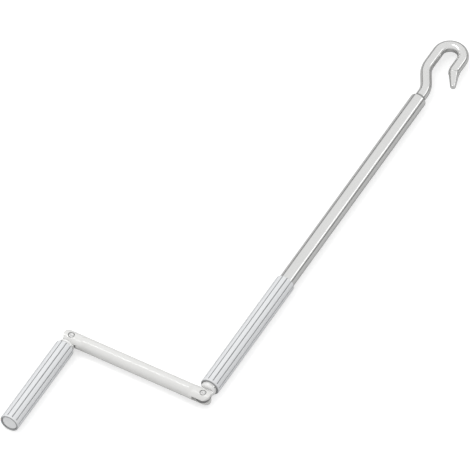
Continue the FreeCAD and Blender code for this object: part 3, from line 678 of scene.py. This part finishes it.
def finish_piece(piece, material, body, slot_name, *stands_for):
    """Smooths, coats and seats a piece, and hides the imported nodes it stands for."""
    use(piece)
    bpy.ops.object.mode_set(mode="EDIT")
    tidy_mesh()
    bpy.ops.object.shade_smooth_by_angle(angle=SMOOTH_ANGLE)
    piece.data.materials.clear()
    piece.data.materials.append(bpy.data.materials[material])
    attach(piece, body)
    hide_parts(*stands_for)


# ---------------------------------------------------------------- operators
class CRANK_OT_finishes(bpy.types.Operator):
    """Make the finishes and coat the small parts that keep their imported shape"""
    bl_idname = "crank.finishes"
    bl_label = "Finishes"

    def execute(self, context):
        colours = context.scene.crank_colours
        arm = context.scene.crank_arm
        hook_rubs = [((12 * MM, 0.0, 0.0), 12 * MM, 30 * MM)]
        tube_rubs = [((SHAFT_HIGH.x, 0.0, 0.0), 8 * MM, 30 * MM)]
        along_x, every_way = (70, 2400, 2400), (900, 900, 900)
        satin_metal("tube_metal", colours.metal, along_x, tube_rubs)
        # the hook's metal carries painted shade at the shaft tube's mouth
        satin_metal("hook_metal", colours.metal, every_way, hook_rubs, SHAFT_HIGH.x)
        satin_paint(
            "arm_paint", colours.arm_paint, PIVOTS, arm.recess_radius, arm.flat_half_height,
        )
        groove_floor = GRIP_RADIUS - context.scene.crank_grip.groove_depth
        groove_top = GRIP_RADIUS - 0.15 * MM
        moulded_plastic("shaft_grip_plastic", colours.grip, (0, 0, 0), groove_floor, groove_top)
        moulded_plastic("handle_grip_plastic", colours.grip, PIVOTS[1], groove_floor, groove_top)
        plug_plastic("plug_plastic", colours.cap, PIVOTS[1])
        zinc_plate("zinc_plate", colours.zinc, 0.9)
        # the pale tongues carry painted shade inside the forks
        zinc_plate("pale_zinc_plate", colours.pale_zinc, 0.25, PIVOTS, NOSE_RADIUS - 0.5 * MM)
        nylon("washer_nylon", colours.nylon)
        coats = {
            "zinc_plate": (
                "hook_screw", "shaft_tongue_pin", "handle_tongue_pin", "shaft_grip_ring",
                "handle_grip_ring",
            ),
            "washer_nylon": (
                "shaft_hinge_washer_top", "shaft_hinge_washer_bottom",
                "handle_hinge_washer_top", "handle_hinge_washer_bottom",
            ),
            # the bush's face takes the hook metal's painted shade at the tube's mouth
            "hook_metal": ("hook_bush",),
        }
        for material, names in coats.items():
            for name in names:
                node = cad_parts[name]
                node.data.materials.clear()
                node.data.materials.append(bpy.data.materials[material])
        return {"FINISHED"}


class CRANK_OT_tubes(bpy.types.Operator):
    """Model the shaft tube and the handle tube"""
    bl_idname = "crank.tubes"
    bl_label = "Tubes"

    def execute(self, context):
        sizes = context.scene.crank_tube
        bore = TUBE_RADIUS - sizes.wall
        stations = [(SHAFT_LOW.x, bore), (SHAFT_LOW.x, TUBE_RADIUS)]
        stations += rounded(SHAFT_HIGH.x, TUBE_RADIUS, sizes.hook_end_round, 1)
        stations += [(SHAFT_HIGH.x, bore)]
        shaft = turned("crank_shaft_tube", Vector((0, 0, 0)), X_AXIS, stations, ring=True)
        finish_piece(shaft, "tube_metal", "shaft", "tube", "shaft_tube")
        low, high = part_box("handle_tube")
        handle = turned(
            "crank_handle_tube", Vector((0, HANDLE_PIVOT.y, 0)), X_AXIS,
            [(low.x, bore), (low.x, TUBE_RADIUS), (high.x, TUBE_RADIUS), (high.x, bore)], ring=True,
        )
        finish_piece(handle, "tube_metal", "handle", "tube", "handle_tube")
        return {"FINISHED"}


class CRANK_OT_grips(bpy.types.Operator):
    """Model the two grooved grips"""
    bl_idname = "crank.grips"
    bl_label = "Grips"

    def execute(self, context):
        sizes = context.scene.crank_grip
        for body, axis_y in (("shaft_grip", 0.0), ("handle_grip", HANDLE_PIVOT.y)):
            low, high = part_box(body)
            axis = Vector((0, axis_y, 0))
            bore = GRIP_RADIUS - sizes.wall
            stations = [(low.x, bore)]
            stations += rounded(low.x, GRIP_RADIUS, sizes.end_round, -1, rising=True)
            stations += rounded(high.x, GRIP_RADIUS, sizes.end_round, 1)
            stations += [(high.x, bore)]
            piece = turned("crank_" + body, axis, X_AXIS, stations, GRIP_SIDES, ring=True)
            half = sizes.groove_width / 2
            cutter = block(
                "groove_cutter",
                (low.x + sizes.rim, axis_y + GRIP_RADIUS - sizes.groove_depth, -half),
                (high.x + 2 * CUT_PAST, axis_y + GRIP_RADIUS + CUT_PAST, half),
            )
            pitch = 2 * math.pi / sizes.groove_count
            to_axis = Matrix.Translation(axis)
            turns = [
                to_axis @ Matrix.Rotation(pitch * (count + 0.5), 4, "X") @ to_axis.inverted()
                for count in range(sizes.groove_count)
            ]
            combine(piece, copies(cutter, turns), "DIFFERENCE")
            soften(piece, sizes.groove_lip, limit=50)
            finish_piece(piece, body + "_plastic", body, "grip", body)
        return {"FINISHED"}


class CRANK_OT_hook(bpy.types.Operator):
    """Bend the hook rod: neck, loop and splayed tip"""
    bl_idname = "crank.hook"
    bl_label = "Hook"

    def execute(self, context):
        sizes = context.scene.crank_hook
        low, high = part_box("hook")
        radius = (high.z - low.z) / 2
        neck, neck_radius = sizes.neck_angle, sizes.neck_radius
        slope = (sizes.loop_radius - 2 * neck_radius * (1 - math.cos(neck))) / math.sin(neck)
        reach = 2 * neck_radius * math.sin(neck) + slope * math.cos(neck)
        neck_start = -sizes.lead - reach

        start = Vector((low.x, 0, 0))
        piece = disc("crank_hook", start, X_AXIS, radius, SMALL_SIDES)
        edit_all()
        rod = RodEnd(start, X_AXIS.copy())
        rod.straight(neck_start - low.x)
        rod.bend(neck, neck_radius, steps=12)
        rod.straight(slope)
        rod.bend(-neck, neck_radius, steps=12)
        rod.straight(sizes.lead)
        rod.bend(-math.pi, sizes.loop_radius, steps=48)
        rod.straight(sizes.back)
        rod.bend(sizes.tip_angle, sizes.tip_radius, steps=10)

        taper = [(sizes.tip_step, radius), (1.2 * sizes.tip_step, radius - sizes.tip_step)]
        taper += rounded(sizes.tip_length, sizes.tip_end_radius, sizes.tip_round, 1)
        run = 0.0
        for distance, next_radius in taper:
            rod.straight(distance - run)
            factor = next_radius / radius
            rescale((factor, factor, factor), rod.place)
            run, radius = distance, next_radius
        close_rims()
        tidy_mesh()
        finish_piece(piece, "hook_metal", "shaft", "hook", "hook")
        return {"FINISHED"}


class CRANK_OT_arm(bpy.types.Operator):
    """Model the arm: round in the middle, flattened, forked and round-nosed at both ends"""
    bl_idname = "crank.arm"
    bl_label = "Arm"

    def execute(self, context):
        sizes = context.scene.crank_arm
        tube = extent("arm_tube").z / 2
        start, end = SHAFT_PIVOT.y, HANDLE_PIVOT.y
        past = NOSE_RADIUS + CUT_PAST
        flat, round_section = (NOSE_RADIUS, sizes.flat_half_height), (tube, tube)
        stations = [
            (start - past, flat), (start + sizes.flat_run, flat),
            (start + sizes.flat_run + sizes.blend, round_section),
            (end - sizes.flat_run - sizes.blend, round_section),
            (end - sizes.flat_run, flat), (end + past, flat),
        ]
        axis = Vector((SHAFT_PIVOT.x, 0, 0))
        rim = axis + Y_AXIS * (start - past)
        piece = disc("crank_arm", rim, Y_AXIS, MM)
        edit_all()
        rescale((flat[0] / MM, 1, flat[1] / MM), rim)
        stretch(axis, stations, steps=6)
        close_rims()
        tidy_mesh()

        tall = 4 * tube
        side = 1.2 * NOSE_RADIUS
        plan = block("plan", (axis.x - side, start, -tall / 2), (axis.x + side, end, tall / 2))
        for pivot in (SHAFT_PIVOT, HANDLE_PIVOT):
            nose = barrel("plan_nose", pivot, Z_AXIS, NOSE_RADIUS, tall, NOSE_SIDES)
            combine(plan, nose, "UNION")
        combine(piece, plan, "INTERSECT")

        half = sizes.slot / 2
        recess_floor = sizes.flat_half_height - sizes.recess_depth
        for pivot, outward in ((SHAFT_PIVOT, -1), (HANDLE_PIVOT, 1)):
            inner = pivot.y - outward * sizes.slot_depth
            outer = pivot.y + outward * past
            slot = block(
                "slot", (axis.x - 2 * NOSE_RADIUS, min(inner, outer), -half),
                (axis.x + 2 * NOSE_RADIUS, max(inner, outer), half),
            )
            combine(piece, slot, "DIFFERENCE")
            for up in (-1, 1):
                recess = barrel(
                    "recess", pivot + Z_AXIS * up * (recess_floor + CUT_PAST), Z_AXIS,
                    sizes.recess_radius, 2 * CUT_PAST, SMALL_SIDES,
                )
                combine(piece, recess, "DIFFERENCE")
        soften(piece, sizes.edge_round, limit=40)
        finish_piece(
            piece, "arm_paint", "arm", "arm", "arm_tube", "shaft_fork_plug", "handle_fork_plug",
        )
        return {"FINISHED"}


class CRANK_OT_hinges(bpy.types.Operator):
    """Model the two hinge tongues with their flanges, and the two rivets"""
    bl_idname = "crank.hinges"
    bl_label = "Hinges"

    def execute(self, context):
        sizes = context.scene.crank_hinge
        arm = context.scene.crank_arm
        flange_start = NOSE_RADIUS + sizes.stop_gap
        tube_start = flange_start + sizes.flange_thickness
        half = sizes.tongue_thickness / 2
        for body, pivot, heading in (("shaft", SHAFT_PIVOT, 1), ("handle", HANDLE_PIVOT, -1)):
            low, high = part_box(body + "_tongue")
            flange = (high.z - low.z) / 2
            spigot = TUBE_RADIUS - context.scene.crank_tube.wall
            spigot_end = max(abs(low.x - pivot.x), abs(high.x - pivot.x))
            direction = X_AXIS * heading
            bevel_end = flange_start + sizes.flange_bevel
            piece = turned("crank_" + body + "_tongue", pivot, direction, [
                (flange_start, flange - sizes.flange_bevel), (bevel_end, flange),
                (tube_start, flange), (tube_start, spigot), (spigot_end, spigot),
            ])
            width = sizes.tongue_half_width
            inner = pivot.x + heading * bevel_end
            blade = block(
                "blade", (min(pivot.x, inner), pivot.y - width, -half),
                (max(pivot.x, inner), pivot.y + width, half),
            )
            combine(blade, barrel("heel", pivot, Z_AXIS, width, 2 * half), "UNION")
            combine(piece, blade, "UNION")
            bore_radius = sizes.rivet_radius + sizes.bore_play
            bore = barrel("bore", pivot, Z_AXIS, bore_radius, 4 * half, SMALL_SIDES)
            combine(piece, bore, "DIFFERENCE")
            soften(piece, width=0.2 * MM, limit=40)
            finish_piece(piece, "pale_zinc_plate", body, "steel", body + "_tongue")

            name = body + "_hinge_rivet"
            top = extent(name).z / 2
            head = extent(name).x / 2
            floor = arm.flat_half_height - arm.recess_depth
            bevel = sizes.head_height / 3
            shank = sizes.rivet_radius
            dimple, depth = sizes.dimple_radius, sizes.dimple_depth
            rivet = turned("crank_" + name, pivot, Z_AXIS, [
                (-top, head - bevel), (-top + bevel, head), (-floor, head), (-floor, shank),
                (floor, shank), (floor, head), (top - bevel, head), (top, head - bevel),
                (top, dimple), (top - 0.7 * depth, 0.5 * dimple), (top - depth, 0.15 * dimple),
            ], SMALL_SIDES)
            soften(rivet, width=0.12 * MM, limit=30)
            finish_piece(rivet, "zinc_plate", "arm", "steel", name)
        return {"FINISHED"}


class CRANK_OT_end_plug(bpy.types.Operator):
    """Model the plug in the handle's free end"""
    bl_idname = "crank.end_plug"
    bl_label = "End plug"

    def execute(self, context):
        low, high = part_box("handle_end_plug")
        head = (high.z - low.z) / 2
        tube_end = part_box("handle_tube")[0].x
        dish = 0.5 * MM
        spigot = TUBE_RADIUS - context.scene.crank_tube.wall
        face = -low.x
        piece = turned("crank_end_plug", Vector((0, HANDLE_PIVOT.y, 0)), -X_AXIS, [
            (-high.x, spigot), (-tube_end, spigot), (-tube_end, head), (face - dish, head),
            (face, head - dish), (face, head - 3 * dish), (face - 0.6 * dish, head - 5 * dish),
            (face - dish, head - 9 * dish), (face - dish, 0.2 * head),
        ])
        soften(piece, width=0.15 * MM, limit=35)
        finish_piece(piece, "plug_plastic", "handle", "cap", "handle_end_plug")
        return {"FINISHED"}


class CRANK_OT_stage(bpy.types.Operator):
    """Set the pale floor, the soft studio light and the camera"""
    bl_idname = "crank.stage"
    bl_label = "Stage"

    def softbox(self, name, aim, offset, size, power):
        deselect()
        bpy.ops.object.light_add(type="AREA", location=aim + offset)
        lamp = bpy.context.object
        lamp.name = name
        lamp.data.shape = "RECTANGLE"
        lamp.data.size, lamp.data.size_y = size
        lamp.data.energy = power
        lamp.rotation_euler = (-offset).to_track_quat("-Z", "Y").to_euler()

    def execute(self, context):
        studio = context.scene.crank_studio
        low, high = CAD_BOX
        centre = (low + high) / 2
        deselect()
        bpy.ops.mesh.primitive_plane_add(size=FLOOR_SIZE, location=(centre.x, centre.y, low.z))
        floor = start_piece("studio_floor")
        pale = Finish(
            "studio_floor", Base_Color=context.scene.crank_colours.floor, Roughness=0.9,
            Specular_IOR_Level=0.0, Emission_Strength=studio.floor_glow,
        )
        seen = pale.node("ShaderNodeLightPath", output="Is Camera Ray")
        pale.feed("Emission Color", pale.blend(seen, (0, 0, 0, 1), (1, 1, 1, 1)))
        floor.data.materials.append(pale.material)

        self.softbox(
            "overhead_softbox", centre, OVERHEAD_PLACE, OVERHEAD_SIZE, studio.key_power,
        )
        self.softbox("side_strip", centre, STRIP_PLACE, STRIP_SIZE, studio.strip_power)

        world = context.scene.world or bpy.data.worlds.new("studio")
        context.scene.world = world
        world.use_nodes = True
        tent = Nodes(world.node_tree)
        direction = tent.node("ShaderNodeTexCoord", output="Generated")
        height = tent.node("ShaderNodeSeparateXYZ", None, {0: direction}, output="Z")
        behind_handle = -1 * tent.node("ShaderNodeSeparateXYZ", None, {0: direction}, output="X")
        backdrop = world.node_tree.nodes["Background"]
        backdrop.inputs["Color"].default_value = (1, 1, 1, 1)
        fill = (studio.low_fill - studio.horizon) * tent.rise(behind_handle, low=0.1, high=0.7)
        low_light = studio.horizon + fill
        sky = tent.rise(height, low=0.05, high=0.38)
        brightness = low_light + (studio.surround - low_light) * sky
        world.node_tree.links.new(brightness.socket, backdrop.inputs["Strength"])
        context.scene.view_settings.view_transform = "Standard"

        aim = SHAFT_PIVOT + AIM_FROM_SHAFT_PIVOT
        bearing, height_angle = studio.azimuth, studio.elevation
        level_share = math.cos(height_angle)
        back = Vector((
            math.sin(bearing) * level_share, -math.cos(bearing) * level_share,
            math.sin(height_angle),
        ))
        deselect()
        bpy.ops.object.camera_add(location=aim + back * studio.distance)
        camera = bpy.context.object
        camera.name = "studio_camera"
        level = back.to_track_quat("Z", "Y")
        camera.rotation_mode = "QUATERNION"
        camera.rotation_quaternion = level @ Quaternion(Z_AXIS, studio.roll)
        camera.data.lens = studio.lens
        camera.data.sensor_width = SENSOR_WIDTH
        camera.data.clip_start, camera.data.clip_end = NEAREST, FARTHEST
        context.scene.camera = camera
        return {"FINISHED"}


class CRANK_PT_pieces(bpy.types.Panel):
    """Lists the crank's pieces and its stage"""
    bl_idname = "CRANK_PT_pieces"
    bl_label = "Folding Hook Crank"
    bl_space_type = "VIEW_3D"
    bl_region_type = "UI"
    bl_category = "Crank"

    def draw(self, context):
        for operator in OPERATORS:
            self.layout.operator(operator.bl_idname)
        for group in SETTINGS:
            box = self.layout.box()
            settings = getattr(context.scene, group)
            for name in settings.bl_rna.properties.keys():
                if name not in ("rna_type", "name"):
                    box.prop(settings, name)


SETTINGS = {
    "crank_tube": CrankTubeSizes,
    "crank_grip": CrankGripSizes,
    "crank_hook": CrankHookSizes,
    "crank_arm": CrankArmSizes,
    "crank_hinge": CrankHingeSizes,
    "crank_colours": CrankColours,
    "crank_studio": CrankStudio,
}
OPERATORS = (
    CRANK_OT_finishes, CRANK_OT_tubes, CRANK_OT_grips, CRANK_OT_hook, CRANK_OT_arm,
    CRANK_OT_hinges, CRANK_OT_end_plug, CRANK_OT_stage,
)


def register():
    for group, settings in SETTINGS.items():
        bpy.utils.register_class(settings)
        setattr(bpy.types.Scene, group, bpy.props.PointerProperty(type=settings))
    for operator in OPERATORS:
        bpy.utils.register_class(operator)
    bpy.utils.register_class(CRANK_PT_pieces)


def unregister():
    bpy.utils.unregister_class(CRANK_PT_pieces)
    for operator in reversed(OPERATORS):
        bpy.utils.unregister_class(operator)
    for group, settings in SETTINGS.items():
        delattr(bpy.types.Scene, group)
        bpy.utils.unregister_class(settings)


def main():
    register()
    bpy.ops.crank.finishes()
    bpy.ops.crank.tubes()
    bpy.ops.crank.grips()
    bpy.ops.crank.hook()
    bpy.ops.crank.arm()
    bpy.ops.crank.hinges()
    bpy.ops.crank.end_plug()
    bpy.ops.crank.stage()


if __name__ == "__main__":
    main()
